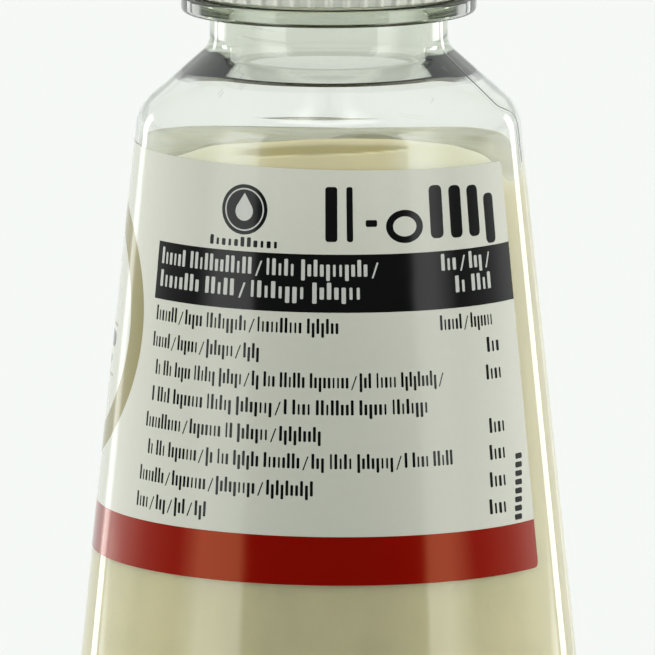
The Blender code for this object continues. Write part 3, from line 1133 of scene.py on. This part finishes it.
# What the camera sees, and the floor: its size in metres, its glow where the camera or a ray
# through plastic sees it, its glow for all else, and its matt colour
BACKDROP = (0.921, 0.939, 0.921)
FLOOR_SIZE = 30.0
FLOOR_GLOW = 0.60
FLOOR_UNSEEN_GLOW = 0.15
FLOOR_COLOR = (0.27, 0.275, 0.27, 1)


def make_world():
    """A plain pale backdrop for the camera, and soft studio lights for everything else."""
    world = bpy.data.worlds.new("studio")
    bpy.context.scene.world = world
    world.use_nodes = True
    nodes = Nodes(world.node_tree)
    nodes.tree.nodes.clear()
    direction = nodes.add("ShaderNodeTexCoord").outputs["Generated"]
    parts = nodes.add("ShaderNodeSeparateXYZ", {0: direction})
    x, y, z = (parts.outputs[i] for i in range(3))
    turn = nodes.math("ARCTAN2", x, nodes.math("MULTIPLY", y, -1.0))
    around = nodes.math("ADD", nodes.math("DIVIDE", turn, 2 * math.pi), 0.5)
    rise = nodes.math("ADD", nodes.math("DIVIDE", nodes.math("ARCSINE", z), math.pi), 0.5)
    path = nodes.add("ShaderNodeLightPath")
    matt = nodes.math("MINIMUM", path.outputs["Diffuse Depth"], 1.0)
    total = 0.0
    for lamp in STUDIO:
        across, up = lamp
        across = nodes.ramp(around, [((a + 180) / 360, v / LIGHT_SCALE) for a, v in across])
        if lamp is FLANKS:
            across = nodes.math("MULTIPLY", across, matt)
        up = nodes.ramp(rise, [((e + 90) / 180, v / LIGHT_SCALE) for e, v in up])
        total = nodes.math("ADD", total, nodes.math("MULTIPLY", across, up))
    light = nodes.math("MULTIPLY", total, LIGHT_SCALE**2)
    studio = nodes.add("ShaderNodeBackground", {"Color": LIGHT_COLOR, "Strength": light})
    ambient = nodes.add("ShaderNodeBackground", {"Color": (*AMBIENT, 1), "Strength": 1.0})
    both = nodes.add("ShaderNodeAddShader", {0: studio.outputs[0], 1: ambient.outputs[0]})
    plain = nodes.add("ShaderNodeBackground", {"Color": (*BACKDROP, 1), "Strength": 1.0})
    mixed = nodes.add(
        "ShaderNodeMixShader",
        {0: path.outputs["Is Camera Ray"], 1: both.outputs[0], 2: plain.outputs[0]},
    )
    nodes.add("ShaderNodeOutputWorld", {0: mixed.outputs[0]})


def make_floor():
    """A wide pale floor that glows enough to meet the backdrop without an edge."""
    half = FLOOR_SIZE / 2 / MM
    corners = [(-half, -half, 0), (half, -half, 0), (half, half, 0), (-half, half, 0)]
    floor = mesh_object("floor", corners, [(0, 1, 2, 3)])
    made = bpy.data.materials.new("floor")
    made.use_nodes = True
    nodes = Nodes(made.node_tree)
    nodes.tree.nodes.clear()
    path = nodes.add("ShaderNodeLightPath")
    seen = nodes.math(
        "MAXIMUM", path.outputs["Is Camera Ray"], path.outputs["Is Transmission Ray"]
    )
    strength = nodes.add(
        "ShaderNodeMix", {0: seen, 2: FLOOR_UNSEEN_GLOW, 3: FLOOR_GLOW}, data_type="FLOAT"
    )
    glow = nodes.add("ShaderNodeEmission", {0: (*BACKDROP, 1), 1: strength.outputs[0]})
    matt = nodes.add("ShaderNodeBsdfDiffuse", {0: FLOOR_COLOR})
    both = nodes.add("ShaderNodeAddShader", {0: glow.outputs[0], 1: matt.outputs[0]})
    nodes.add("ShaderNodeOutputMaterial", {0: both.outputs[0]})
    floor.data.materials.append(made)
    floor.visible_glossy = False


# Far away with a long lens, as the photo's nearly parallel view asks
CAMERA_DISTANCE = 1.98
CAMERA_ELEVATION = math.radians(8.6)
CAMERA_TARGET = (-0.00023, 0, 0.149)
CAMERA_LENS = 609.0


def make_camera():
    """The camera in front of the label, looking slightly down."""
    data = bpy.data.cameras.new("camera")
    data.lens = CAMERA_LENS
    data.clip_end = 100
    camera = link(bpy.data.objects.new("camera", data))
    back = Vector((0, -math.cos(CAMERA_ELEVATION), math.sin(CAMERA_ELEVATION)))
    camera.location = Vector(CAMERA_TARGET) + back * CAMERA_DISTANCE
    camera.rotation_mode = "QUATERNION"
    camera.rotation_quaternion = (-back).to_track_quat("-Z", "Y")
    bpy.context.scene.camera = camera


make_bottle()
make_mayonnaise()
make_cap()
make_label()
make_world()
make_floor()
make_camera()
bpy.context.scene.view_settings.view_transform = "Standard"
